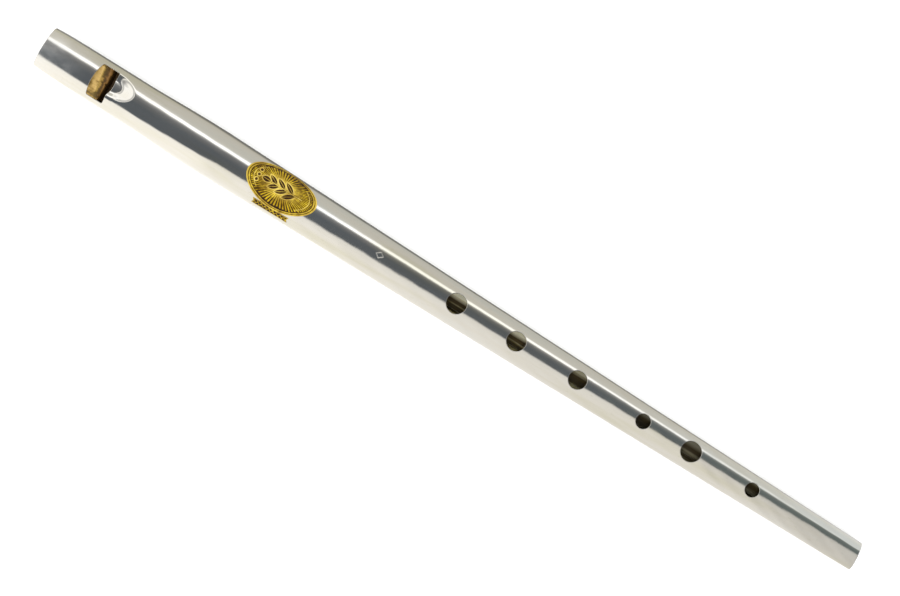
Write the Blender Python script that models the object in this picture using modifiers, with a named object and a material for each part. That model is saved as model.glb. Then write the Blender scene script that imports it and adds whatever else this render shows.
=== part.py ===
"""A conical tinplate whistle with a wooden fipple block, in metres, +Z up.

The tube is one sheet of tinplate rolled to a cone, whose edges lap along the underside. Its head is
squeezed round a wooden block, which leaves a thin windway under the roof. The air leaves the windway
through the window and strikes the lip, a dished edge pressed into the same sheet. +X runs from the
mouth end to the foot, and +Z points out of the finger holes. The whistle lies on its lap, so the
underside is level and the bore's centre line sinks towards the foot. The origin is the middle of the
block's flat mouth end.
"""

import math

import bmesh
import bpy
from mathutils import Vector

MM = 0.001

# The cone: its straight taper runs from the foot to the shoulder.
LENGTH = 305 * MM
WIDEST_AT = 64 * MM
WIDEST_RADIUS = 8.0 * MM
FOOT_RADIUS = 4.65 * MM
TAPER = (WIDEST_RADIUS - FOOT_RADIUS) / (LENGTH - WIDEST_AT)
SHEET = 0.3 * MM

# The head: narrower than the cone, drawn in at the rim and a little flat on top.
HEAD_RADIUS = 7.4 * MM
RIM_DRAW = 0.4 * MM
RIM_DRAW_REACH = 7 * MM
SHOULDER = (33 * MM, 66 * MM)
HEAD_ROOF = 0.84  # the roof's height as a share of the half width
HEAD_SQUARENESS = 2.35  # the exponent of the roof's curve, 2 on a true ellipse

# The lap: the outer edge of the sheet lies flat over the inner one, along the underside. Its angles
# are measured from straight down.
LAP_BEND = math.radians(18)  # where the outer edge leaves the round
LAP_HALF = math.radians(12)  # half the flat of the outer edge
LAP_UNDER = math.radians(9)  # how far the inner edge runs in under it
LAP_RISE = SHEET + 0.2 * MM

# The window, turned a little from the line of the finger holes, and the lip pressed in behind it.
WINDOW_START = 19.3 * MM
WINDOW_END = 25.2 * MM
WINDOW_HALF_WIDTH = 5.6 * MM
WINDOW_OFFSET = -0.5 * MM
LIP_DEPTH = 2.0 * MM
LIP_LENGTH = 8.4 * MM
LIP_HALF_WIDTH = 5.2 * MM
LIP_OFFSET = 0.3 * MM
LIP_FLOOR = 0.2  # how far out the dish stays at its full depth, as a share of its size
LIP_BACK = 0.5 * MM  # the dish starts this far inside the window

# Finger holes: (distance from the mouth end, diameter).
FINGER_HOLES = (
    (154.6 * MM, 6.7 * MM),
    (177.0 * MM, 6.4 * MM),
    (200.0 * MM, 6.1 * MM),
    (224.6 * MM, 4.9 * MM),
    (242.6 * MM, 6.8 * MM),
    (265.5 * MM, 4.7 * MM),
)
HOLE_SIDES = 28

# The wooden block, with its flat windway floor and its sloping inner end.
FIT_GAP = 0.25 * MM
BLOCK_LENGTH = 23.4 * MM
WINDWAY_FLOOR = 4.2 * MM
BLOCK_SLOPE_TOP = 21.7 * MM
BLOCK_SLOPE = math.radians(40)  # from upright

# The foil transfer: an oval medallion and the narrow ribbon below it.
FOIL = 0.15 * MM
FOIL_GAP = 0.15 * MM
MEDALLION_AT = 88.3 * MM
MEDALLION_TURN = math.radians(10)  # from the line of the finger holes, towards +Y
MEDALLION_HALF_LENGTH = 12.5 * MM
MEDALLION_HALF_ANGLE = math.radians(59)
MEDALLION_SIDES = 48
RIBBON_SPAN = (82 * MM, 95 * MM)
RIBBON_TURN = (math.radians(-67), math.radians(-51))

# How finely the surfaces are divided: round the bore, and at stations along the head and shoulder.
ROUND_STEPS = 48
HEAD_STATIONS = (0, 2.5 * MM, 5.5 * MM, 9.5 * MM, 15 * MM)
WINDOW_STATIONS = (21 * MM, 24.2 * MM, 24.9 * MM)
LIP_STATIONS = 9
LIP_STATION_START = 25.9 * MM
LIP_STATION_STEP = 0.95 * MM
SHOULDER_STATIONS = (37 * MM, 41 * MM, 45.5 * MM, 50 * MM, 54.5 * MM, 59 * MM, 66 * MM)
SHARP_ANGLE = math.radians(30)
CUT_MARGIN = 2 * MM
CUT_MARGIN_ANGLE = math.radians(8)


def ease(start, end, value):
    """0 before start, 1 after end, and a smooth S between them."""
    t = min(max((value - start) / (end - start), 0.0), 1.0)
    return t * t * (3 - 2 * t)


def cone_radius(x):
    return FOOT_RADIUS + TAPER * (LENGTH - x)


def outer_radius(x):
    """Half the tube's width at a distance from the mouth end."""
    head = HEAD_RADIUS - RIM_DRAW * math.exp(-x / RIM_DRAW_REACH)
    return head + (cone_radius(x) - head) * ease(*SHOULDER, x)


def section_point(x, turn, radius):
    """A point of the tube's section, with no dish. turn is measured from the top, towards +Y."""
    roundness = ease(*SHOULDER, x)
    share = HEAD_ROOF + (1 - HEAD_ROOF) * roundness
    power = 2 / (HEAD_SQUARENESS + (2 - HEAD_SQUARENESS) * roundness)
    y = math.sin(turn)
    z = math.cos(turn)
    if z > 0:
        y = math.copysign(abs(y) ** power, y)
        z = share * z**power
    return Vector((x, radius * y, radius * z + centre(x)))


def centre(x):
    """Height of the bore's centre line."""
    return -TAPER * x


def lip_drop(x, y):
    """How far the dish of the lip lies below the undented roof."""
    along = (x - WINDOW_END) / LIP_LENGTH
    across = (y - LIP_OFFSET) / LIP_HALF_WIDTH
    if x < WINDOW_END - LIP_BACK:
        return 0.0
    return LIP_DEPTH * (1 - ease(LIP_FLOOR, 1, math.hypot(max(along, 0), across)))


def wall_point(x, turn, grow=0.0):
    """A point of the tube's outer surface, with the dish of the lip pressed into the roof."""
    point = section_point(x, turn, outer_radius(x) + grow)
    if math.cos(turn) > 0:
        point.z -= lip_drop(x, point.y)
    return point


def round_turns(low=-2 * math.pi, high=2 * math.pi):
    """The turns at which the sheet is divided, from its inner edge over the top to its outer one."""
    start = math.pi + LAP_UNDER
    end = LAP_BEND - math.pi
    turns = [start + (end - start) * step / ROUND_STEPS for step in range(ROUND_STEPS + 1)]
    return [turn for turn in turns if low <= turn <= high]


def lap_point(x, turn):
    """A point of the flat outer lap. turn is measured from straight down, towards +Y."""
    radius = outer_radius(x)
    return Vector((x, radius * math.sin(turn), centre(x) - radius - LAP_RISE))


def collection(name):
    made = bpy.data.collections.new(name)
    bpy.context.scene.collection.children.link(made)
    return made


def material(name, colour, roughness, metallic):
    made = bpy.data.materials.new(name)
    made.use_nodes = True
    shader = made.node_tree.nodes["Principled BSDF"]
    shader.inputs["Base Color"].default_value = (*colour, 1)
    shader.inputs["Roughness"].default_value = roughness
    shader.inputs["Metallic"].default_value = metallic
    return made


def add_object(name, mesh, home, finish=None):
    made = bpy.data.objects.new(name, mesh)
    home.objects.link(made)
    if finish:
        mesh.materials.append(finish)
    return made


def loft(name, rings, closed):
    """A surface through rings of equal length. A closed one is capped at both ends."""
    build = bmesh.new()
    rows = [[build.verts.new(point) for point in ring] for ring in rings]
    count = len(rings[0])
    for row, following in zip(rows, rows[1:]):
        for i in range(count if closed else count - 1):
            j = (i + 1) % count
            build.faces.new((row[i], row[j], following[j], following[i]))
    if closed:
        build.faces.new(rows[0])
        build.faces.new(rows[-1])
        bmesh.ops.recalc_face_normals(build, faces=build.faces)
    mesh = bpy.data.meshes.new(name)
    build.to_mesh(mesh)
    build.free()
    return mesh


def cut_with_active(target, name, home, operation="DIFFERENCE"):
    """Makes the primitive just added cut the target."""
    tool = bpy.context.active_object
    tool.name = name
    for holder in list(tool.users_collection):
        holder.objects.unlink(tool)
    home.objects.link(tool)
    tool.hide_render = True
    tool.display_type = "WIRE"
    cut = target.modifiers.new(name, "BOOLEAN")
    cut.operation = operation
    cut.solver = "EXACT"
    cut.object = tool


def cut_box(target, name, home, middle, size, tilt=0.0):
    """Cuts a box out of the target. tilt turns it about Y."""
    bpy.ops.mesh.primitive_cube_add(size=1, location=middle, rotation=(0, tilt, 0), scale=size)
    cut_with_active(target, name, home)


def smooth_round(piece):
    piece.data.shade_smooth()
    piece.data.set_sharp_from_angle(angle=SHARP_ANGLE)


def sheet_stations():
    """Distances at which the sheet bends along its length. It is rolled over-long at the foot."""
    lip = [LIP_STATION_START + LIP_STATION_STEP * step for step in range(LIP_STATIONS)]
    return [*HEAD_STATIONS, *WINDOW_STATIONS, *lip, *SHOULDER_STATIONS, LENGTH + CUT_MARGIN]


def make_tube(parts, cutters):
    """One rolled sheet, from its inner edge, over the top, to the flat lap, with its foot cut square."""
    rings = []
    for x in sheet_stations():
        ring = [wall_point(x, turn) for turn in round_turns()]
        ring += [lap_point(x, -LAP_HALF), lap_point(x, LAP_HALF)]
        rings.append(ring)
    tinplate = material("tinplate", (0.80, 0.79, 0.76), 0.22, 1.0)
    tube = add_object("body_tube", loft("body_tube", rings, closed=False), parts, tinplate)
    wall = tube.modifiers.new("sheet thickness", "SOLIDIFY")
    wall.thickness = SHEET
    wall.offset = -1
    wall.use_even_offset = True
    cut_box(
        tube,
        "foot_cutter",
        cutters,
        middle=(LENGTH + CUT_MARGIN, 0, centre(LENGTH)),
        size=(2 * CUT_MARGIN, 2 * WIDEST_RADIUS, 2 * WIDEST_RADIUS),
    )
    for number, (x, diameter) in enumerate(FINGER_HOLES, start=1):
        depth = cone_radius(x) + CUT_MARGIN
        bpy.ops.mesh.primitive_cylinder_add(
            vertices=HOLE_SIDES,
            radius=diameter / 2,
            depth=depth,
            location=(x, 0, centre(x) + depth / 2),
        )
        cut_with_active(tube, f"finger_hole_cutter_{number}", cutters)
    cut_box(
        tube,
        "window_cutter",
        cutters,
        middle=((WINDOW_START + WINDOW_END) / 2, WINDOW_OFFSET, WIDEST_RADIUS / 2 + CUT_MARGIN),
        size=(WINDOW_END - WINDOW_START, 2 * WINDOW_HALF_WIDTH, WIDEST_RADIUS),
    )
    smooth_round(tube)


def make_block(parts, cutters):
    """A turned plug that fits the head, with a flat for the windway and a sloping inner end."""
    turns = [2 * math.pi * step / ROUND_STEPS for step in range(ROUND_STEPS)]
    inset = SHEET + FIT_GAP
    rings = []
    for x in (*HEAD_STATIONS, BLOCK_LENGTH):
        rings.append([section_point(x, turn, outer_radius(x) - inset) for turn in turns])
    wood = material("cedar", (0.55, 0.34, 0.13), 0.65, 0.0)
    block = add_object("fipple_block", loft("fipple_block", rings, closed=True), parts, wood)
    reach = 2 * WIDEST_RADIUS
    cut_box(
        block,
        "windway_cutter",
        cutters,
        middle=(BLOCK_LENGTH / 2, 0, WINDWAY_FLOOR + reach / 2),
        size=(BLOCK_LENGTH + 2 * CUT_MARGIN, reach, reach),
    )
    outward = Vector((math.cos(BLOCK_SLOPE), 0, math.sin(BLOCK_SLOPE)))
    cut_box(
        block,
        "block_end_cutter",
        cutters,
        middle=Vector((BLOCK_SLOPE_TOP, 0, WINDWAY_FLOOR)) + outward * reach / 2,
        size=(reach, reach, reach),
        tilt=-BLOCK_SLOPE,
    )
    smooth_round(block)


def foil_patch(name, stations, turns, parts, finish):
    """A curved piece of foil that lies a hair above the tube, facet for facet."""
    rings = [[wall_point(x, turn, FOIL_GAP) for turn in turns] for x in stations]
    patch = add_object(name, loft(name, rings, closed=False), parts, finish)
    thick = patch.modifiers.new("foil thickness", "SOLIDIFY")
    thick.thickness = FOIL
    thick.offset = 1
    smooth_round(patch)
    return patch


def make_foils(parts, cutters):
    """The oval medallion, and the straight ribbon that lies under its lower edge."""
    gold = material("gold foil", (0.62, 0.43, 0.06), 0.4, 0.8)
    trim = MEDALLION_HALF_LENGTH + CUT_MARGIN
    trim_angle = MEDALLION_HALF_ANGLE + CUT_MARGIN_ANGLE
    medallion = foil_patch(
        "medallion_foil",
        (MEDALLION_AT - trim, MEDALLION_AT + trim),
        round_turns(MEDALLION_TURN - trim_angle, MEDALLION_TURN + trim_angle),
        parts,
        gold,
    )
    radius = outer_radius(MEDALLION_AT)
    half_width = radius * math.sin(MEDALLION_HALF_ANGLE)
    outward = Vector((0, math.sin(MEDALLION_TURN), math.cos(MEDALLION_TURN)))
    bpy.ops.mesh.primitive_cylinder_add(
        vertices=MEDALLION_SIDES,
        radius=1,
        depth=1,
        location=Vector((MEDALLION_AT, 0, centre(MEDALLION_AT))) + outward * radius,
        rotation=(-MEDALLION_TURN, 0, 0),
        scale=(MEDALLION_HALF_LENGTH, half_width, 2 * radius),
    )
    cut_with_active(medallion, "medallion_outline", cutters, operation="INTERSECT")
    foil_patch("ribbon_foil", RIBBON_SPAN, round_turns(*RIBBON_TURN), parts, gold)


def main():
    for thing in list(bpy.data.objects):
        bpy.data.objects.remove(thing, do_unlink=True)
    parts = collection("tin_whistle")
    cutters = collection("cutters")
    make_tube(parts, cutters)
    make_block(parts, cutters)
    make_foils(parts, cutters)


main()
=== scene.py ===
"""A conical tinplate whistle: one rolled sheet, a wooden block in its head, and a gold foil transfer."""
import math
import random

import bpy
from mathutils import Matrix, Vector
from mathutils.geometry import delaunay_2d_cdt


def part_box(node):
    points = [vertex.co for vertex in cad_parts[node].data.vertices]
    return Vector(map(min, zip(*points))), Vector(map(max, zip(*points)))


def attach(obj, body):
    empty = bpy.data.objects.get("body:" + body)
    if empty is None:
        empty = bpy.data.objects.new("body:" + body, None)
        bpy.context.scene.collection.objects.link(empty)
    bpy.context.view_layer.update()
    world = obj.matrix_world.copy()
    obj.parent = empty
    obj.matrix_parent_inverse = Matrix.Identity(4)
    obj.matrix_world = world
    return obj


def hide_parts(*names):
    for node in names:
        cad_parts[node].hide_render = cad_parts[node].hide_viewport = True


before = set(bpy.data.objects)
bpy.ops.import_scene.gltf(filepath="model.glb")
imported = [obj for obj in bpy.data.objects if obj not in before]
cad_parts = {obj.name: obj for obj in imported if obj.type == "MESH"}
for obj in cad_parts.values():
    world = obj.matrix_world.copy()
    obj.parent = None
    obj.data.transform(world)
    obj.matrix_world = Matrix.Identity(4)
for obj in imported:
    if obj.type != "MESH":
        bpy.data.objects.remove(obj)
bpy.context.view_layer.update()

# ------------------------------------------------------------------------------------------------
# The table and the lights. The whistle lies on a white table, on the flat lap of its underside,
# between soft white cards, under a dark ceiling that the polished tin mirrors as a grey band.
# ------------------------------------------------------------------------------------------------
MM = 0.001
tube_low, tube_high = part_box("body_tube")
LENGTH = tube_high.x
SHEET = 0.3 * MM
CAD_LAP_RISE = 0.5 * MM  # how far the lap stands out below the round of the tube
LAP_RISE = 0.36 * MM  # the soldered lap lies closer than the CAD's open one
FLOOR = tube_low.z + CAD_LAP_RISE - LAP_RISE


def node(tree, kind, inputs=(), **settings):
    """Adds a shader node. inputs are (socket, a value or the output that feeds it)."""
    made = tree.nodes.new(kind)
    for key, value in settings.items():
        setattr(made, key, value)
    for socket, value in inputs:
        if isinstance(value, bpy.types.NodeSocket):
            tree.links.new(value, made.inputs[socket])
        else:
            made.inputs[socket].default_value = value
    return made


def math_node(tree, operation, *values):
    return node(tree, "ShaderNodeMath", list(enumerate(values)), operation=operation).outputs[0]


def rise_node(tree, value, start, end, top=1.0):
    """0 at start, and up to top at end."""
    limits = [("Value", value), ("From Min", start), ("From Max", end), ("To Max", top)]
    return node(tree, "ShaderNodeMapRange", limits).outputs[0]


def ramp_node(tree, factor, stops):
    """A colour ramp. stops are (position, grey level or (r, g, b))."""
    made = node(tree, "ShaderNodeValToRGB", [("Fac", factor)])
    marks = made.color_ramp.elements
    while len(marks) < len(stops):
        marks.new(0.5)
    for mark, (position, colour) in zip(marks, stops):
        mark.position = position
        mark.color = (colour, colour, colour, 1) if isinstance(colour, float) else (*colour, 1)
    return made.outputs["Color"]


def blend_node(tree, factor, first, second, blend="MIX"):
    """Mixes two colours by a factor."""
    made = node(tree, "ShaderNodeMix", data_type="RGBA", blend_type=blend)
    for socket, value in zip((0, 6, 7), (factor, first, second)):
        if isinstance(value, bpy.types.NodeSocket):
            tree.links.new(value, made.inputs[socket])
        elif socket == 0:
            made.inputs[socket].default_value = value
        else:
            made.inputs[socket].default_value = (*value, 1)
    return made.outputs[2]


# What the tin mirrors is given by the angle of a direction round the whistle's length, from straight
# up towards +Y, in degrees. The cards lie askew to the whistle, so their edges shift along its length.
DARK_ROOM = (0.112, 0.124, 0.137)
WHITE_CARD = (1.29, 1.255, 1.165)
SMALL_CARD = (1.2, 1.18, 1.12)
END_WALL = (0.42, 0.42, 0.41)
DIFFUSE_LIGHT = 1.5
REACH = 0.25  # the lengthwise part of a direction at the ends of the ramps

room = bpy.data.worlds.new("studio")
bpy.context.scene.world = room
room.use_nodes = True
tree = room.node_tree
tree.nodes.clear()
direction = node(tree, "ShaderNodeTexCoord").outputs["Generated"]
parts = node(tree, "ShaderNodeSeparateXYZ", [(0, direction)]).outputs
angle = math_node(tree, "DEGREES", math_node(tree, "ARCTAN2", parts["Y"], parts["Z"]))
lengthwise = math_node(tree, "MULTIPLY_ADD", parts["X"], 0.5 / REACH, 0.5)


def along_ramp(stops):
    """A value that changes with the lengthwise part of a direction."""
    return ramp_node(tree, lengthwise, [(0.5 + 0.5 * x / REACH, float(value)) for x, value in stops])


def turn_ramp(edge, stops):
    """A colour that changes with the angle beyond an edge, whose place is given for each x."""
    places = along_ramp([(x, (place + 180) / 360) for x, place in edge])
    ratio = math_node(tree, "MULTIPLY_ADD", angle, 1 / 360, 0.5)
    beyond = math_node(tree, "ADD", math_node(tree, "SUBTRACT", ratio, places), 0.5)
    return ramp_node(tree, beyond, [((turn + 180) / 360, colour) for turn, colour in stops])


# A broad white card over the -Y side, and how bright it is along the whistle.
card = turn_ramp(
    [(-0.12, -48), (-0.045, -40.6), (0.0, -32), (0.05, -20.5), (0.1, -13), (0.15, 2), (0.19, 18)],
    [(-100, 1.0), (-30, 0.985), (-8, 0.94), (-3.5, 0.85), (3.5, 0.0), (180, 0.0)],
)
card_light = along_ramp(
    [
        (-0.12, 0.93),
        (-0.045, 0.84),
        (0.0, 0.76),
        (0.06, 0.69),
        (0.12, 0.70),
        (0.15, 0.58),
        (0.19, 0.50),
    ]
)
# A narrow bright strip on the other side of the ceiling, with a grey wall below it.
STRIP_EDGE = [(-0.045, 36), (0.0, 41.5), (0.03, 45), (0.06, 47), (0.1, 51.5), (0.13, 55), (0.19, 58)]
strip = turn_ramp(
    STRIP_EDGE,
    [
        (-36, DARK_ROOM),
        (-25, (0.150, 0.155, 0.160)),
        (-14, (0.22, 0.22, 0.22)),
        (-7, (0.55, 0.55, 0.53)),
        (-4, (1.40, 1.40, 1.38)),
        (6, (1.40, 1.40, 1.38)),
        (12, (0.70, 0.68, 0.62)),
        (22, (0.64, 0.62, 0.55)),
        (84, (0.60, 0.58, 0.51)),
        (94, (0.30, 0.29, 0.26)),
        (104, (0.20, 0.195, 0.18)),
        (140, (0.20, 0.195, 0.18)),
    ],
)
# Towards the foot the strip is broader, duller and greener.
dull_strip = turn_ramp(
    STRIP_EDGE,
    [
        (-36, (0.135, 0.16, 0.155)),
        (-18, (0.155, 0.18, 0.17)),
        (-9, (0.22, 0.25, 0.235)),
        (-3, (0.72, 0.75, 0.73)),
        (30, (0.73, 0.76, 0.74)),
        (80, (0.90, 0.91, 0.88)),
        (140, (0.30, 0.29, 0.26)),
    ],
)
strip = blend_node(tree, along_ramp([(0.08, 0), (0.165, 1)]), strip, dull_strip)
cards = blend_node(tree, card_light, (0, 0, 0), WHITE_CARD)
mirrored = blend_node(tree, card, strip, cards)
# Nearer the whistle's ends the same cards are shorter and the room behind them is grey. A small card
# past the mouth end lights the dish of the lip.
circle = math_node(tree, "MULTIPLY_ADD", angle, 1 / 360, 0.5)


def circle_ramp(stops):
    """A colour that changes with the angle round the whistle."""
    return ramp_node(tree, circle, [((turn + 180) / 360, colour) for turn, colour in stops])


far_room = circle_ramp(
    [
        (-180, 0.22),
        (-112, 0.34),
        (-96, 1.0),
        (-52, 1.05),
        (-44, 0.17),
        (28, 0.20),
        (37, 1.3),
        (47, 1.3),
        (53, 0.64),
        (95, 0.52),
        (125, 0.26),
        (180, 0.22),
    ]
)
steep = math_node(tree, "ABSOLUTE", parts["X"])
mirrored = blend_node(tree, rise_node(tree, steep, 0.30, 0.50), mirrored, far_room)
small_card = ramp_node(
    tree,
    math_node(tree, "MULTIPLY", parts["X"], -1.0),
    [
        (0.31, 0.0),
        (0.33, 0.85),
        (0.37, 0.85),
        (0.42, 0.4),
        (0.49, 0.4),
        (0.58, 1.0),
        (0.90, 1.0),
        (0.94, 0.0),
    ],
)
small_card_width = circle_ramp([(-28, 0.0), (-6, 1.0), (54, 1.0), (64, 0.0)])
small_card = math_node(tree, "MULTIPLY", small_card, small_card_width)
mirrored = blend_node(tree, small_card, mirrored, SMALL_CARD)
mirrored = blend_node(tree, rise_node(tree, steep, 0.90, 0.98), mirrored, END_WALL)
rays = node(tree, "ShaderNodeLightPath").outputs
plain = node(tree, "ShaderNodeBackground", [("Color", (1, 1, 1, 1)), ("Strength", DIFFUSE_LIGHT)])
seen = node(tree, "ShaderNodeBackground", [("Color", mirrored), ("Strength", 1.0)])
lit = node(
    tree,
    "ShaderNodeMixShader",
    [("Fac", rays["Is Glossy Ray"]), (1, plain.outputs[0]), (2, seen.outputs[0])],
)
node(tree, "ShaderNodeOutputWorld", [("Surface", lit.outputs[0])])

KEY_POWER = 7
KEY_SIZE = 0.3
KEY_PLACE = (0.15, -0.40, 1.5)
key = bpy.data.lights.new("key", "AREA")
key.shape = "RECTANGLE"
key.size = KEY_SIZE
key.size_y = KEY_SIZE
key.energy = KEY_POWER
key_lamp = bpy.data.objects.new("key", key)
bpy.context.scene.collection.objects.link(key_lamp)
key_lamp.location = KEY_PLACE
key_lamp.rotation_euler = (Vector((0.15, 0, 0)) - key_lamp.location).to_track_quat("-Z", "Y").to_euler()
key_lamp.visible_glossy = False

TABLE_HALF = 3.0
bpy.ops.mesh.primitive_grid_add(x_subdivisions=4, y_subdivisions=4, size=2 * TABLE_HALF)
table = bpy.context.active_object
table.name = "table"
table.location = (LENGTH / 2, 0, FLOOR)
white = bpy.data.materials.new("white table")
white.use_nodes = True
shader = white.node_tree.nodes["Principled BSDF"]
shader.inputs["Base Color"].default_value = (0.96, 0.96, 0.955, 1)
shader.inputs["Roughness"].default_value = 0.8
shader.inputs["Specular IOR Level"].default_value = 0.1
table.data.materials.append(white)
table.visible_glossy = False

# The camera looks down on the holes, a few degrees from the -Y side, across the middle of the tube.
# TAPER is how fast the bore narrows, and its centre line sinks by the same slope.
WIDEST_AT = 64 * MM
WIDEST_RADIUS = 8.0 * MM
FOOT_RADIUS = 4.65 * MM
TAPER = (WIDEST_RADIUS - FOOT_RADIUS) / (LENGTH - WIDEST_AT)
CAMERA_AT = 151.8 * MM
CAMERA_DISTANCE = 1.02
CAMERA_LEAN = math.radians(4.6)
CAMERA_ROLL = math.radians(32.19)
CAMERA_ASIDE = 0.9 * MM
SENSOR = 36
LENS = 127.9

sink = math.atan(TAPER)
bore = Vector((math.cos(sink), 0, -math.sin(sink)))
across = Vector((0, 1, 0))
away = Matrix.Rotation(CAMERA_LEAN, 3, bore) @ bore.cross(across)
side = away.cross(bore)
right = bore * math.cos(CAMERA_ROLL) + side * math.sin(CAMERA_ROLL)
up = side * math.cos(CAMERA_ROLL) - bore * math.sin(CAMERA_ROLL)
place = bore * CAMERA_AT + side * CAMERA_ASIDE + away * CAMERA_DISTANCE
camera = bpy.data.cameras.new("camera")
camera.sensor_width = SENSOR
camera.lens = LENS
eye = bpy.data.objects.new("camera", camera)
bpy.context.scene.collection.objects.link(eye)
turned = Matrix((right, up, away)).transposed().to_4x4()
eye.matrix_world = Matrix.Translation(place) @ turned
bpy.context.scene.camera = eye
bpy.context.scene.view_settings.view_transform = "Standard"

# ------------------------------------------------------------------------------------------------
# The tube. A blank of bright tinplate is punched with the window and the six finger holes, then
# rolled to a cone and lapped along the underside. The head is squeezed round the block, and the
# lip is dished in behind the window. Every cut edge is left a little rounded.
# ------------------------------------------------------------------------------------------------
HEAD_RADIUS = 7.4 * MM
RIM_DRAW = 0.4 * MM  # how far the mouth end is drawn in
RIM_DRAW_REACH = 7 * MM
SHOULDER = (33 * MM, 66 * MM)  # the squeezed head passes into the round cone between these
HEAD_ROOF = 0.84  # the roof's height as a share of half the head's width
HEAD_SQUARENESS = 2.1  # the exponent of the roof's curve, where 2 is round
LAP_BEND = math.radians(18)  # from here the sheet bends out to the lap; all three are from the bottom
LAP_HALF = math.radians(12)  # the outer lap is flat, and reaches this far to each side
LAP_UNDER = math.radians(9)  # the other edge runs on this far under it
BLANK_START = -math.pi - LAP_HALF
BLANK_END = math.pi + LAP_UNDER

WINDOW_START = 19.3 * MM
WINDOW_END = 25.2 * MM
WINDOW_LEFT = -6.1 * MM
WINDOW_RIGHT = 5.1 * MM
WINDOW_BOW = 0.7 * MM  # how far the window's mouth edge bows towards the mouth
EDGE_PULL = 0.35 * MM  # the middle of the lip's edge is drawn back where the lip is dished
EDGE_BULGE = 0.15 * MM  # a slight swelling of the same edge, on the -Y side
LIP_DEPTH = 1.5 * MM
LIP_LENGTH = 8.4 * MM
LIP_HALF_WIDTH = 4.9 * MM
LIP_OFFSET = 0.75 * MM
LIP_FLOOR = 0.34  # how far out the dish keeps its full depth, as a share of its size

FINGER_HOLES = (
    (154.6 * MM, 6.7 * MM),
    (177.0 * MM, 6.4 * MM),
    (200.0 * MM, 6.1 * MM),
    (224.6 * MM, 4.9 * MM),
    (242.6 * MM, 6.8 * MM),
    (265.5 * MM, 4.7 * MM),
)
FOOT_SKEW = 0.45 * MM  # the foot is cut a little out of square
FOOT_SKEW_REACH = 9 * MM

MARK_AT = 125.8 * MM
MARK_HALF = 1.3 * MM
MARK_LINE = 0.16 * MM
MARK_DEPTH = 0.07 * MM


def ease(start, end, value):
    """0 before start, 1 after end, and a smooth S between them."""
    t = min(max((value - start) / (end - start), 0.0), 1.0)
    return t * t * (3 - 2 * t)


def outer_radius(x):
    """Half the tube's width at a distance from the mouth end."""
    head = HEAD_RADIUS - RIM_DRAW * math.exp(-x / RIM_DRAW_REACH)
    cone = FOOT_RADIUS + TAPER * (LENGTH - x)
    return head + (cone - head) * ease(*SHOULDER, x)


def squeeze(x):
    """How the head's roof differs from round: its height's share of the width, and its exponent."""
    roundness = ease(*SHOULDER, x)
    share = HEAD_ROOF + (1 - HEAD_ROOF) * roundness
    return share, 2 / (HEAD_SQUARENESS + (2 - HEAD_SQUARENESS) * roundness)


def section_point(x, turn, radius):
    """A point of the section. turn is measured from the top, towards +Y."""
    share, power = squeeze(x)
    y = math.sin(turn)
    z = math.cos(turn)
    if z > 0:
        y = math.copysign(abs(y) ** power, y)
        z = share * z**power
    return Vector((x, radius * y, radius * z - TAPER * x))


def turn_at(x, y):
    """The turn of the roof's point that lies y from the middle."""
    ratio = min(abs(y) / outer_radius(x), 1)
    return math.copysign(math.asin(ratio ** (1 / squeeze(x)[1])), y)


def lip_drop(x, y):
    """How far the dish of the lip lies below the undented roof."""
    if x < WINDOW_END - 0.6 * MM:
        return 0.0
    along = max(x - WINDOW_END, 0) / LIP_LENGTH
    sideways = (y - LIP_OFFSET) / LIP_HALF_WIDTH
    return LIP_DEPTH * (1 - ease(LIP_FLOOR, 1, math.hypot(along, sideways)))


def mark_drop(x, y):
    """The groove of the small hollow lozenge punched below the medallion."""
    off = abs(abs(x - MARK_AT) * 0.8 + abs(y) - MARK_HALF * 0.8)
    return MARK_DEPTH * (1 - ease(0.3 * MARK_LINE, MARK_LINE, off))


def waviness(x, turn):
    """The slight unevenness left by rolling the sheet by hand."""
    slow = math.sin(41 * x / LENGTH + 2 * turn) * math.sin(17 * x / LENGTH - turn + 1)
    quick = math.sin(163 * x / LENGTH + 5 * turn) * math.sin(61 * x / LENGTH + 3 * turn)
    return (0.020 * slow + 0.011 * quick) * MM


def sheet_point(x, turn):
    """A point of the sheet's outer face. A turn beyond the round part lies on the outer lap."""
    point = section_point(x, turn, outer_radius(x) + waviness(x, turn))
    if math.cos(turn) > 0:
        point.z -= lip_drop(x, point.y)
        if abs(x - MARK_AT) < 2 * MARK_HALF:
            point.z -= mark_drop(x, point.y)
    point.x -= FOOT_SKEW * math.sin(turn) * ease(LENGTH - FOOT_SKEW_REACH, LENGTH, x)
    onto_lap = 1 - ease(LAP_HALF - math.pi, LAP_BEND - math.pi, turn)
    if onto_lap > 0:
        flat = outer_radius(x) * math.sin(turn)
        point = point.lerp(Vector((point.x, flat, -TAPER * x - outer_radius(x) - LAP_RISE)), onto_lap)
    return point


FINE = 0.01 * MM


def sheet_normal(x, turn):
    """The outward normal of the sheet's outer face."""
    swing = FINE / outer_radius(x)
    along = sheet_point(x + FINE, turn) - sheet_point(x - FINE, turn)
    around = sheet_point(x, turn + swing) - sheet_point(x, turn - swing)
    return along.cross(around).normalized()


# The blank is laid out flat, in millimetres: distance along the tube, and distance round it.
ROUND_SCALE = 7.0
RIM = SHEET / 2


def flat_place(x, y):
    """Where a point of the roof, seen from above, lies on the flat blank."""
    return Vector((x / MM, turn_at(x, y) * ROUND_SCALE))


def round_outline(x, diameter, grow, steps=72):
    """A punched hole, seen from above, as a loop on the blank."""
    radius = diameter / 2 + grow
    turns = [2 * math.pi * step / steps for step in range(steps)]
    return [flat_place(x + radius * math.cos(turn), radius * math.sin(turn)) for turn in turns]


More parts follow.
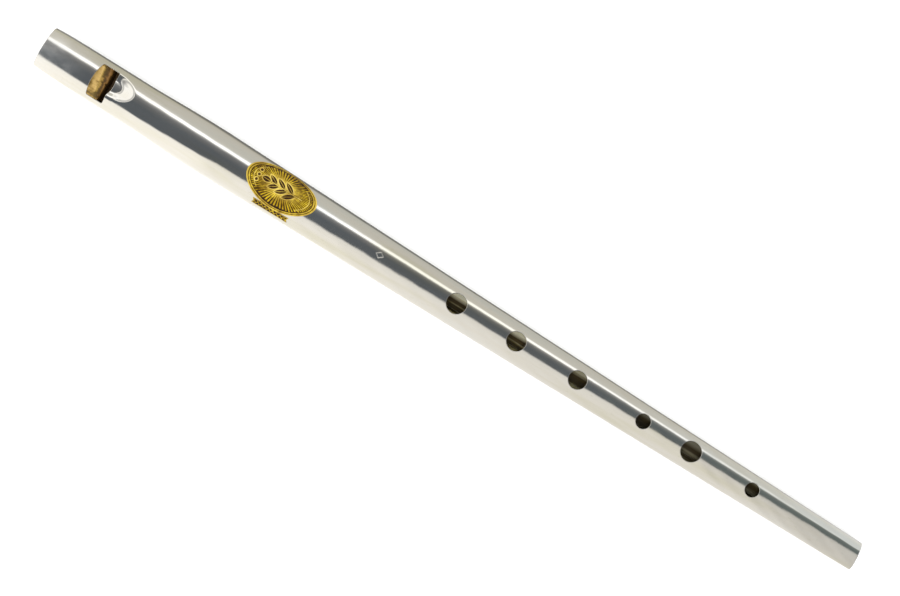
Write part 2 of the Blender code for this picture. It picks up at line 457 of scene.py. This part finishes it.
def window_outline(grow, corner=0.35 * MM, spacing=0.22 * MM):
    """The window, with small round corners and its mouth edge bowed towards the mouth."""
    corner += grow
    low = Vector((WINDOW_START - grow, WINDOW_LEFT - grow))
    high = Vector((WINDOW_END + grow, WINDOW_RIGHT + grow))
    middles = (
        Vector((high.x - corner, high.y - corner)),
        Vector((low.x + corner, high.y - corner)),
        Vector((low.x + corner, low.y + corner)),
        Vector((high.x - corner, low.y + corner)),
    )
    loop = []
    for number, middle in enumerate(middles):
        for step in range(7):
            turn = math.pi / 2 * (number + step / 6)
            loop.append(middle + corner * Vector((math.cos(turn), math.sin(turn))))
    filled = []
    for start, end in zip(loop, loop[1:] + loop[:1]):
        parts = max(1, round((end - start).length / spacing))
        filled += [start.lerp(end, part / parts) for part in range(parts)]
    outline = []
    for x, y in filled:
        across = (2 * y - WINDOW_LEFT - WINDOW_RIGHT) / (WINDOW_RIGHT - WINDOW_LEFT)
        near_mouth = 1 - ease(WINDOW_START, WINDOW_END, x)
        near_lip = ease((WINDOW_START + WINDOW_END) / 2, WINDOW_END - 0.3 * MM, x)
        pull = EDGE_PULL * (1 - ease(0.7 * MM, 2.7 * MM, abs(y)))
        pull -= EDGE_BULGE * (1 - ease(0, 1.2 * MM, abs(y + 3.4 * MM)))
        x += near_lip * pull - WINDOW_BOW * near_mouth * max(0, 1 - across**2)
        outline.append(flat_place(x, y))
    return outline


def inside(point, outline):
    """Is a flat point within a loop?"""
    crossed = False
    for start, end in zip(outline, outline[1:] + outline[:1]):
        if (start.y > point.y) != (end.y > point.y):
            if point.x < start.x + (point.y - start.y) / (end.y - start.y) * (end.x - start.x):
                crossed = not crossed
    return crossed


def loop_box(outline):
    xs = [point.x for point in outline]
    ys = [point.y for point in outline]
    return min(xs), max(xs), min(ys), max(ys)


def within(point, outline, box):
    return box[0] < point.x < box[1] and box[2] < point.y < box[3] and inside(point, outline)


def spread(start, end, step):
    """Evenly spaced values from start to end, about a step apart."""
    count = max(1, round((end - start) / step))
    return [start + (end - start) * i / count for i in range(count + 1)]


# Loops of points follow each opening, so its rim and the metal round it come out smooth.
RING_OFFSETS = (0, 0.18 * MM, 0.4 * MM, 0.68 * MM, 1.05 * MM)
blank_points = []
blank_edges = []
openings = []
collars = []
outlines = [lambda grow, hole=hole: round_outline(*hole, grow) for hole in FINGER_HOLES]
outlines.append(window_outline)
for outline in outlines:
    for offset in RING_OFFSETS:
        loop = outline(RIM + offset)
        if offset == 0:
            first = len(blank_points)
            blank_edges += [(first + i, first + (i + 1) % len(loop)) for i in range(len(loop))]
            openings.append((loop, loop_box(loop)))
        blank_points += loop
    loop = outline(RIM + RING_OFFSETS[-1] + 0.15 * MM)
    collars.append((loop, loop_box(loop)))

# The rest of the blank is an even grid, with a finer patch over the head and one over the lozenge mark.
# A patch takes the place of the ones before it.
along_low = spread(0, WINDOW_START / MM - 1.5, 1.2)
along_high = spread((WINDOW_END + LIP_LENGTH) / MM + 1.5, LENGTH / MM, 1.5)
along_fine = spread(along_low[-1], along_high[0], 0.42)
around_fine = spread(-ROUND_SCALE * math.radians(72), ROUND_SCALE * math.radians(72), 0.42)
patches = [
    (along_low + along_high[1:], spread(BLANK_START * ROUND_SCALE, BLANK_END * ROUND_SCALE, 0.62)),
    (along_fine[1:-1], around_fine),
    (
        spread((MARK_AT - 1.3 * MARK_HALF) / MM, (MARK_AT + 1.3 * MARK_HALF) / MM, 0.07),
        spread(-1.3 * MARK_HALF / MM, 1.3 * MARK_HALF / MM, 0.07),
    ),
]
patch_boxes = [(xs[0], xs[-1], ys[0], ys[-1]) for xs, ys in patches]
patch_boxes[1] = (along_low[-1], along_high[0], around_fine[0], around_fine[-1])
# The coarse grid goes on beside the head's patch, round the sides and the underside.
coarse_fill = spread(along_low[-1], along_high[0], 1.2)[1:-1]
patches[0] = (sorted(patches[0][0] + coarse_fill), patches[0][1])
CLEARANCE = 0.2
for number, (xs, ys) in enumerate(patches):
    for x in xs:
        for y in ys:
            point = Vector((x, y))
            taken = any(
                box[0] - CLEARANCE < x < box[1] + CLEARANCE and box[2] - CLEARANCE < y < box[3] + CLEARANCE
                for box in patch_boxes[number + 1 :]
            )
            if not taken and not any(within(point, *collar) for collar in collars):
                blank_points.append(point)

flat = delaunay_2d_cdt(blank_points, blank_edges, [], 0, 1e-6)
flat_points = flat[0]
flat_faces = []
for face in flat[2]:
    middle = sum((flat_points[i] for i in face), Vector((0, 0))) / 3
    if not any(within(middle, *opening) for opening in openings):
        flat_faces.append(tuple(face))

# Rolling the blank: an outer face, an inner face, and a half-round rim that joins them.
RIM_STEPS = 6
verts = []
normals = []
depth_in = []
for point in flat_points:
    x = point.x * MM
    turn = point.y / ROUND_SCALE
    verts.append(sheet_point(x, turn))
    normals.append(sheet_normal(x, turn))
    depth_in.append(0.0)
outer_count = len(verts)
for i in range(outer_count):
    verts.append(verts[i] - SHEET * normals[i])
    normals.append(-normals[i])
    depth_in.append(1.0)
faces = list(flat_faces)
faces += [tuple(i + outer_count for i in reversed(face)) for face in flat_faces]
follows = {}
for face in flat_faces:
    for start, end in zip(face, face[1:] + face[:1]):
        follows[start, end] = True
border = {start: end for start, end in follows if (end, start) not in follows}
while border:
    loop = [next(iter(border))]
    while loop[-1] in border:
        loop.append(border.pop(loop[-1]))
    loop.pop()
    rows = [loop]
    outward = []
    for i, vertex in enumerate(loop):
        chord = verts[loop[(i + 1) % len(loop)]] - verts[loop[i - 1]]
        outward.append(chord.cross(normals[vertex]).normalized())
    for step in range(1, RIM_STEPS):
        turn = math.pi * step / RIM_STEPS
        row = []
        for vertex, away_from in zip(loop, outward):
            normal = math.cos(turn) * normals[vertex] + math.sin(turn) * away_from
            row.append(len(verts))
            verts.append(verts[vertex] - RIM * normals[vertex] + RIM * normal)
            normals.append(normal)
            depth_in.append(0.0)
        rows.append(row)
    rows.append([vertex + outer_count for vertex in loop])
    for row, following in zip(rows, rows[1:]):
        for i in range(len(loop)):
            j = (i + 1) % len(loop)
            faces.append((row[j], row[i], following[i], following[j]))


def add_piece(name, verts, faces, normals=None, **values):
    """Makes a smooth mesh object. values are numbers kept at its vertices for the material."""
    mesh = bpy.data.meshes.new(name)
    mesh.from_pydata(verts, [], faces)
    mesh.shade_smooth()
    for key, numbers in values.items():
        mesh.attributes.new(key, "FLOAT", "POINT").data.foreach_set("value", numbers)
    if normals:
        mesh.normals_split_custom_set_from_vertices(normals)
    piece = bpy.data.objects.new(name, mesh)
    bpy.context.scene.collection.objects.link(piece)
    return piece


tube = add_piece("tube", verts, faces, normals, inner=depth_in)


def new_material(name):
    made = bpy.data.materials.new(name)
    made.use_nodes = True
    return made, made.node_tree, made.node_tree.nodes["Principled BSDF"]


def noise_node(tree, place, scale, stretch=(1, 1, 1), detail=2, roughness=0.5):
    """Noise over the piece's own coordinates, in metres. A small stretch value draws it out."""
    mapped = node(tree, "ShaderNodeMapping", [("Vector", place), ("Scale", stretch)]).outputs[0]
    made = node(
        tree,
        "ShaderNodeTexNoise",
        [("Vector", mapped), ("Scale", scale), ("Detail", detail), ("Roughness", roughness)],
    )
    return made.outputs["Fac"]


tin, tree, shader = new_material("bright tinplate")
place = node(tree, "ShaderNodeTexCoord").outputs["Object"]
inner = node(tree, "ShaderNodeAttribute", attribute_name="inner").outputs["Fac"]
spot = node(tree, "ShaderNodeSeparateXYZ", [(0, place)]).outputs
streaks = noise_node(tree, place, 900, (0.03, 1, 1), detail=3)
cloud = noise_node(tree, place, 330, (0.5, 1, 1), detail=5, roughness=0.65)
cloud = ramp_node(tree, cloud, [(0.38, 0.0), (0.68, 1.0)])

# Outside: faint tints and specks in the tin.
tarnish = noise_node(tree, place, 130, (0.10, 1, 1), detail=4, roughness=0.55)
bright = ramp_node(
    tree,
    tarnish,
    [
        (0.34, (0.76, 0.775, 0.77)),
        (0.46, (0.80, 0.79, 0.765)),
        (0.56, (0.79, 0.77, 0.73)),
        (0.68, (0.74, 0.72, 0.63)),
    ],
)
specks = noise_node(tree, place, 1300, (0.35, 1, 1), detail=2)
specks = ramp_node(tree, specks, [(0.66, 0.0), (0.74, 1.0)])
bright = blend_node(tree, math_node(tree, "MULTIPLY", specks, 0.22), bright, (0.60, 0.57, 0.44))

# Inside: an olive and brown stain in streaks. Across the bore it is painted dark brown over the middle
# and cream along the +Y side, a painted light where light through the holes falls. It is painted darker
# towards the foot and round the block, a painted shade deep in the bore.
streak = noise_node(tree, place, 620, (0.03, 1, 1), detail=4, roughness=0.7)
olive = ramp_node(
    tree,
    streak,
    [(0.44, (0.07, 0.05, 0.01)), (0.51, (0.27, 0.22, 0.07)), (0.56, (0.90, 0.84, 0.52))],
)
brown = ramp_node(tree, streak, [(0.40, (0.025, 0.014, 0.003)), (0.60, (0.10, 0.07, 0.02))])
# The cream is a painted light, where light through the holes falls on the +Y side of the bore.
hole_light = ramp_node(tree, streak, [(0.38, (0.70, 0.62, 0.33)), (0.55, (0.95, 0.92, 0.72))])
# Painted shade and light across the bore: dark brown over the middle, cream along the +Y side.
stain_light_and_shade = blend_node(tree, rise_node(tree, spot["Y"], 0.2 * MM, 0.8 * MM), olive, brown)
stain_light_and_shade = blend_node(tree, rise_node(tree, spot["Y"], 1.7 * MM, 3.1 * MM), stain_light_and_shade, hole_light)
# Painted shade: darker deep in the bore towards the foot, and round the block.
foot_shade = rise_node(tree, spot["X"], 185 * MM, 222 * MM, 0.75)
stain_light_and_shade = blend_node(tree, foot_shade, stain_light_and_shade, (0.055, 0.04, 0.016))
block_shade = rise_node(tree, spot["X"], 60 * MM, 36 * MM)
stain_light_and_shade = blend_node(tree, block_shade, stain_light_and_shade, (0.12, 0.075, 0.035))
tree.links.new(blend_node(tree, inner, bright, stain_light_and_shade), shader.inputs["Base Color"])

# The player's lips leave a haze on the mouth end.
lips = rise_node(tree, spot["X"], 17 * MM, 2 * MM)
breath = math_node(tree, "MULTIPLY", lips, math_node(tree, "MULTIPLY_ADD", cloud, 0.11, 0.03))
metal = math_node(tree, "SUBTRACT", 1.0, breath)
metal = math_node(tree, "MULTIPLY_ADD", inner, -0.85, metal)
tree.links.new(metal, shader.inputs["Metallic"])
rough = math_node(tree, "MULTIPLY_ADD", streaks, 0.06, 0.045)
misted = math_node(tree, "MULTIPLY", lips, math_node(tree, "MULTIPLY_ADD", cloud, 0.10, 0.08))
rough = math_node(tree, "ADD", misted, rough)
rough = math_node(tree, "MULTIPLY_ADD", inner, 0.3, rough)
tree.links.new(rough, shader.inputs["Roughness"])
scuff = math_node(tree, "MULTIPLY_ADD", cloud, 0.25, streaks)
bump = node(tree, "ShaderNodeBump", [("Height", scuff), ("Strength", 0.08), ("Distance", 0.0002)])
tree.links.new(bump.outputs[0], shader.inputs["Normal"])
tube.data.materials.append(tin)
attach(tube, "root")
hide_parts("body_tube")

# ------------------------------------------------------------------------------------------------
# The block. A plug of plain softwood, turned to fit the head and pressed in. A flat planed along its
# top leaves the windway, and its inner end is cut to a slope that shows through the window.
# ------------------------------------------------------------------------------------------------
block_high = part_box("fipple_block")[1]
BLOCK_END = block_high.x
WINDWAY_FLOOR = block_high.z
BLOCK_GAP = 0.05 * MM
BLOCK_EDGE = 0.35 * MM
SLOPE_TOP = 20.7 * MM
SLOPE_SKEW = -0.19  # how far the slope's top edge runs back for each step towards +Y
SLOPE = 2.4  # how far the slope runs back for each step down, at its top
SLOPE_CURVE = 0.3 / MM  # how quickly it steepens
CHIP = (0.2 * MM, 0.55 * MM, 0.75 * MM)  # its place across the block, half width and depth


def softer_min(first, second, blend):
    """The smaller of two lengths, with the corner between them rounded."""
    near = max(blend - abs(first - second), 0) / blend
    return min(first, second) - near * near * blend / 4


def block_side(x, turn):
    """A point of the block's section, before its ends are cut."""
    worn = BLOCK_EDGE * max(0, 1 - x / BLOCK_EDGE) ** 2 * 0.5
    point = section_point(x, turn, outer_radius(x) - SHEET - BLOCK_GAP - worn)
    point.z = softer_min(point.z, WINDWAY_FLOOR - worn, 0.5 * MM)
    return point


def block_end(y, z):
    """How far the inner end reaches at a point of the section."""
    top = SLOPE_TOP + SLOPE_SKEW * y
    top -= CHIP[2] * (1 - ease(0, CHIP[1], abs(y + CHIP[0])))
    top += 0.05 * MM * math.sin(2300 * y) + 0.03 * MM * math.sin(7900 * y + 1)
    below = min(WINDWAY_FLOOR - z, 2 * MM)
    slope = top + below * (SLOPE - SLOPE_CURVE * below)
    return softer_min(BLOCK_END - 0.1 * MM, slope, 0.8 * MM)


BLOCK_TURNS = 160
CAP_RINGS = 22
turns = [2 * math.pi * i / BLOCK_TURNS for i in range(BLOCK_TURNS)]
shares = [(ring + 1) / CAP_RINGS for ring in range(CAP_RINGS)]
mouth = [block_side(0, turn) for turn in turns]
verts = [Vector((0, 0, 0))]
for share in shares:
    for _, y, z in mouth:
        sawn = 0.02 * MM * math.sin(9000 * (y * share + z * share))
        verts.append(Vector((sawn, y * share, z * share)))
inner_edge = [block_side(SLOPE_TOP, turn) for turn in turns]
reach = [block_end(y, z) for _, y, z in inner_edge]
for step in spread(0.1 * MM, BLOCK_EDGE, 0.1 * MM) + spread(BLOCK_EDGE, BLOCK_END, 0.8 * MM)[1:-1]:
    verts += [block_side(step * end / BLOCK_END, turn) for turn, end in zip(turns, reach)]
for share in reversed(shares):
    for _, y, z in inner_edge:
        rounding = 0.12 * MM * max(0, (share - 0.9) / 0.1) ** 2
        verts.append(Vector((block_end(y * share, z * share) - rounding, y * share, z * share)))
verts.append(Vector((block_end(0, 0), 0, 0)))


def loft_faces(count, last):
    """Faces of a closed body made of rings of equal count between two end points."""
    faces = [(0, 1 + (i + 1) % count, 1 + i) for i in range(count)]
    for start in range(1, last - count, count):
        for i in range(count):
            j = (i + 1) % count
            faces.append((start + i, start + j, start + count + j, start + count + i))
    start = last - count
    faces += [(last, start + i, start + (i + 1) % count) for i in range(count)]
    return faces


block = add_piece("block", verts, loft_faces(BLOCK_TURNS, len(verts) - 1))

wood, tree, shader = new_material("softwood")
place = node(tree, "ShaderNodeTexCoord").outputs["Object"]
spot = node(tree, "ShaderNodeSeparateXYZ", [(0, place)]).outputs
fibre = noise_node(tree, place, 2600, (0.05, 1, 1), detail=4, roughness=0.6)
rings = node(
    tree,
    "ShaderNodeTexWave",
    [("Vector", place), ("Scale", 260), ("Distortion", 5), ("Detail", 3), ("Detail Scale", 1.5)],
    bands_direction="Z",
).outputs["Fac"]
grain = math_node(tree, "MULTIPLY_ADD", fibre, 0.6, math_node(tree, "MULTIPLY", rings, 0.4))
colour = ramp_node(
    tree,
    grain,
    [(0.32, (0.12, 0.075, 0.013)), (0.5, (0.25, 0.155, 0.035)), (0.68, (0.44, 0.29, 0.09))],
)
damp = rise_node(tree, spot["X"], 3 * MM, 0.0)
colour = blend_node(tree, math_node(tree, "MULTIPLY", damp, 0.45), colour, (0.13, 0.07, 0.025))
# The slope is painted darker towards its foot: a painted shade where it falls away into the bore.
# Painted shade: the slope's colour darkens from its top edge down into the bore.
down_slope = math_node(tree, "MULTIPLY_ADD", spot["Y"], -SLOPE_SKEW, spot["X"])
slope_shade = ramp_node(
    tree,
    rise_node(tree, down_slope, 20.6 * MM, 22.6 * MM),
    [(0.0, (1, 1, 1)), (0.14, (0.66, 0.66, 0.42)), (0.5, (0.60, 0.54, 0.33)), (0.95, (0.46, 0.35, 0.26))],
)
colour = blend_node(tree, 1.0, colour, slope_shade, blend="MULTIPLY")
tree.links.new(colour, shader.inputs["Base Color"])
shader.inputs["Specular IOR Level"].default_value = 0.35
rough = math_node(tree, "MULTIPLY_ADD", fibre, 0.2, 0.5)
tree.links.new(rough, shader.inputs["Roughness"])
bump = node(tree, "ShaderNodeBump", [("Height", grain), ("Strength", 0.35), ("Distance", 0.0002)])
tree.links.new(bump.outputs[0], shader.inputs["Normal"])
block.data.materials.append(wood)
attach(block, "root")
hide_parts("fipple_block")

# ------------------------------------------------------------------------------------------------
# The medallion. An oval transfer of gold foil printed in dark brown, with a double rim, bars and
# beads at its ends, a burst of rays and a spray of leaves. It is stuck on below the shoulder.
# ------------------------------------------------------------------------------------------------
medallion_low, medallion_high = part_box("medallion_foil")
MEDALLION_AT = (medallion_low.x + medallion_high.x) / 2
MEDALLION_HALF = (medallion_high.x - medallion_low.x) / 2
MEDALLION_TURN = math.radians(10)
MEDALLION_SPREAD = math.radians(59)
FOIL_BOTTOM = 0.02 * MM
FOIL_TOP = 0.10 * MM
RELIEF = 0.035 * MM
RAYS = 60
STEPS_A_RAY = 8
MEDALLION_RINGS = 88
BARS = 72

chance = random.Random(7)
ray_width = [chance.uniform(0.75, 1.25) for _ in range(RAYS)]
ray_end = [chance.uniform(0.82, 0.885) for _ in range(RAYS)]
bar_width = [chance.uniform(0.16, 0.34) for _ in range(BARS)]

# Leaves of the spray: the place of the root, the direction in degrees, the length, half the width.
LEAVES = [(-3.9, 0.0, 180, 3.4, 1.0)]
for number in range(3):
    root = 4.4 - 3.0 * number
    LEAVES.append((root, 0.0, 148 + 2 * number, 5.0 - 0.4 * number, 0.86))
    LEAVES.append((root + 0.9, 0.0, -148 - 2 * number, 5.0 - 0.4 * number, 0.86))


def leaf_distance(a, b, leaf):
    """Distance in millimetres to a pointed leaf's outline, negative inside, and to its midrib."""
    root_a, root_b, heading, length, half = leaf
    heading = math.radians(heading)
    p = (a - root_a) * math.cos(heading) + (b - root_b) * math.sin(heading) - length / 2
    q = (b - root_b) * math.cos(heading) - (a - root_a) * math.sin(heading)
    bulge = ((length / 2) ** 2 + half * half) / (2 * half)
    return math.hypot(p, abs(q) + bulge - half) - bulge, abs(q) + max(0, abs(p) - length * 0.4)


def band(low, high, value, soft):
    """1 between low and high, with soft ends."""
    return ease(low - soft, low + soft, value) * (1 - ease(high - soft, high + soft, value))


def medallion_print(share, turn, a, b):
    """How golden a point of the medallion is, and how light. share is 0 at the middle, 1 at the rim."""
    # The double rim.
    gold = max(band(0.962, 1.2, share, 0.006), band(0.905, 0.940, share, 0.006))
    light = band(0.975, 1.2, share, 0.01) * 0.8 + band(0.912, 0.932, share, 0.01) * 0.5
    # The burst of rays. At the two ends bars take their place near the rim, inside a thin line.
    ray = turn * RAYS / (2 * math.pi)
    number = int(ray) % RAYS
    off = abs(ray - int(ray) - 0.5)
    half = 0.17 * ray_width[number] / max(share, 0.2)
    inner_ray = 1 - ease(half - 0.07, half + 0.07, off)
    inner_ray *= 1 - ease(-0.01, 0.01, share - ray_end[number])
    at_end = ease(0.74, 0.80, abs(math.cos(turn)))
    if share < 0.80 or at_end < 0.5:
        gold = max(gold, inner_ray)
        light = max(light, inner_ray * 0.35 * (1 - ease(0.35, 0.75, share)))
    else:
        bar = turn * BARS / (2 * math.pi)
        off = abs(bar - int(bar) - 0.5)
        stroke = 1 - ease(bar_width[int(bar) % BARS] - 0.06, bar_width[int(bar) % BARS] + 0.06, off)
        gold = max(gold, stroke * band(0.815, 0.875, share, 0.008))
    line = band(0.785, 0.800, share, 0.005) * ease(0.70, 0.76, abs(math.cos(turn)))
    gold = max(gold, line)
    light = max(light, line)
    # Three ring-shaped beads, then the leaves with their midribs, and the stem over them.
    for bead in range(3):
        off = math.hypot(a + 8.4, b - 1.7 * (bead - 1)) - 0.62
        if off < 0.3:
            gold = min(gold, ease(-0.05, 0.05, off)) if abs(off) > 0.14 else 1
            light = max(light, 1 - ease(0.06, 0.2, abs(off)))
    for leaf in LEAVES:
        edge, rib = leaf_distance(a, b, leaf)
        if edge < 0.28:
            outline = 1 - ease(0.09, 0.19, abs(edge))
            vein = (1 - ease(0.03, 0.10, rib)) * (1 - ease(-0.25, -0.1, edge))
            gold = outline if edge > -0.1 and edge < 0.16 else (vein * 0.8 if edge < 0 else gold)
            light = max(outline, vein * 0.5) if edge < 0.16 else light
    stem = abs(b) + max(0, abs(a - 1.8) - 5.6)
    if stem < 0.22:
        gold = max(1 - ease(0.10, 0.16, stem), 0)
        light = 1 - ease(0.05, 0.14, stem)
    return gold, light


def on_sheet(x, turn, lift):
    return sheet_point(x, turn) + lift * sheet_normal(x, turn)


radius = outer_radius(MEDALLION_AT)
count = RAYS * STEPS_A_RAY
turns = [2 * math.pi * (i + 0.5) / count for i in range(count)]
verts = []
gold_at = []
light_at = []


def add_ring(share, lift, printed):
    for turn in turns:
        a = MEDALLION_HALF * share * math.cos(turn)
        aside = math.asin(math.sin(MEDALLION_SPREAD) * share * math.sin(turn))
        gold, light = (1.0, 0.0)
        if printed:
            gold, light = medallion_print(share, turn, a / MM, radius * math.sin(aside) / MM)
        raised = RELIEF * max(gold, light) if printed else 0
        verts.append(on_sheet(MEDALLION_AT + a, MEDALLION_TURN + aside, lift + raised))
        gold_at.append(gold)
        light_at.append(light)


def add_middle(lift):
    verts.append(on_sheet(MEDALLION_AT, MEDALLION_TURN, lift))
    gold_at.append(1.0)
    light_at.append(0.0)


add_middle(FOIL_TOP)
for ring in range(1, MEDALLION_RINGS + 1):
    add_ring(ring / MEDALLION_RINGS, FOIL_TOP, True)
for share, lift in ((1.006, FOIL_TOP + RELIEF / 2), (1.006, FOIL_BOTTOM)):
    add_ring(share, lift, False)
for ring in range(9, 0, -1):
    add_ring(ring / 10, FOIL_BOTTOM, False)
add_middle(FOIL_BOTTOM)
faces = [tuple(reversed(face)) for face in loft_faces(count, len(verts) - 1)]
medallion = add_piece("medallion", verts, faces, gold=gold_at, light=light_at)

foil, tree, shader = new_material("printed gold foil")
place = node(tree, "ShaderNodeTexCoord").outputs["Object"]
golden = node(tree, "ShaderNodeAttribute", attribute_name="gold").outputs["Fac"]
lighter = node(tree, "ShaderNodeAttribute", attribute_name="light").outputs["Fac"]
mottle = noise_node(tree, place, 900, detail=4, roughness=0.6)
brown = ramp_node(tree, mottle, [(0.35, (0.012, 0.004, 0.001)), (0.7, (0.06, 0.028, 0.004))])
yellow = ramp_node(
    tree,
    mottle,
    [(0.32, (0.22, 0.13, 0.003)), (0.5, (0.40, 0.275, 0.008)), (0.68, (0.62, 0.46, 0.02))],
)
colour = blend_node(tree, golden, brown, yellow)
colour = blend_node(tree, math_node(tree, "MULTIPLY", lighter, 0.8), colour, (0.66, 0.52, 0.12))
# Patches of lighter and darker gold: partly the foil's uneven tone, partly a painted sheen.
patches = noise_node(tree, place, 210, detail=3)
patches = ramp_node(tree, patches, [(0.36, (0.62, 0.52, 0.45)), (0.62, (1.22, 1.2, 1.25))])
colour = blend_node(tree, 1.0, colour, patches, blend="MULTIPLY")
tree.links.new(colour, shader.inputs["Base Color"])
metal = math_node(tree, "MULTIPLY_ADD", golden, 0.25, 0.05)
tree.links.new(metal, shader.inputs["Metallic"])
rough = math_node(tree, "MULTIPLY_ADD", mottle, 0.2, 0.32)
tree.links.new(rough, shader.inputs["Roughness"])
shader.inputs["Specular IOR Level"].default_value = 0.12
bump = node(tree, "ShaderNodeBump", [("Height", mottle), ("Strength", 0.15), ("Distance", 0.0001)])
tree.links.new(bump.outputs[0], shader.inputs["Normal"])
medallion.data.materials.append(foil)
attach(medallion, "root")
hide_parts("medallion_foil")

# ------------------------------------------------------------------------------------------------
# The ribbon. A narrow strip of the same foil under the medallion's lower edge, with forked ends and
# a printed wave, stuck on with it.
# ------------------------------------------------------------------------------------------------
ribbon_low, ribbon_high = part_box("ribbon_foil")
RIBBON_TURN = math.radians(-55.5)
RIBBON_HALF = math.radians(8)
FORK = 0.5 * MM
RIBBON_COLUMNS = 150
RIBBON_ROWS = 18
verts = []
gold_at = []
light_at = []
for layer, lift in enumerate((FOIL_BOTTOM, FOIL_TOP)):
    for column in range(RIBBON_COLUMNS + 1):
        for row in range(RIBBON_ROWS + 1):
            aside = 2 * row / RIBBON_ROWS - 1
            start = ribbon_low.x + FORK * (1 - abs(aside))
            end = ribbon_high.x - FORK * (1 - abs(aside))
            share = column / RIBBON_COLUMNS
            x = start + (end - start) * share
            wave = 0.42 * math.sin(2 * math.pi * share * 9)
            gold = max(
                1 - ease(0.16, 0.30, abs(aside - wave)),
                ease(0.78, 0.86, abs(aside)),
                1 - ease(0.02, 0.03, min(share, 1 - share)),
            )
            light = 0.7 * ease(0.84, 0.95, abs(aside))
            turn = RIBBON_TURN + RIBBON_HALF * aside * (1 + 0.04 * math.sin(14 * share))
            raised = RELIEF * gold if layer else 0
            verts.append(on_sheet(x, turn, lift + raised))
            gold_at.append(gold)
            light_at.append(light)
columns = RIBBON_ROWS + 1
layer_size = (RIBBON_COLUMNS + 1) * columns
faces = []
for column in range(RIBBON_COLUMNS):
    for row in range(RIBBON_ROWS):
        i = column * columns + row
        faces.append((i, i + 1, i + columns + 1, i + columns))
        i += layer_size
        faces.append((i, i + columns, i + columns + 1, i + 1))
edge = list(range(columns))
edge += [column * columns + columns - 1 for column in range(1, RIBBON_COLUMNS + 1)]
edge += [RIBBON_COLUMNS * columns + row for row in range(columns - 2, -1, -1)]
edge += [column * columns for column in range(RIBBON_COLUMNS - 1, 0, -1)]
for start, end in zip(edge, edge[1:] + edge[:1]):
    faces.append((end, start, start + layer_size, end + layer_size))
ribbon = add_piece("ribbon", verts, faces, gold=gold_at, light=light_at)
ribbon.data.materials.append(foil)
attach(ribbon, "root")
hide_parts("ribbon_foil")
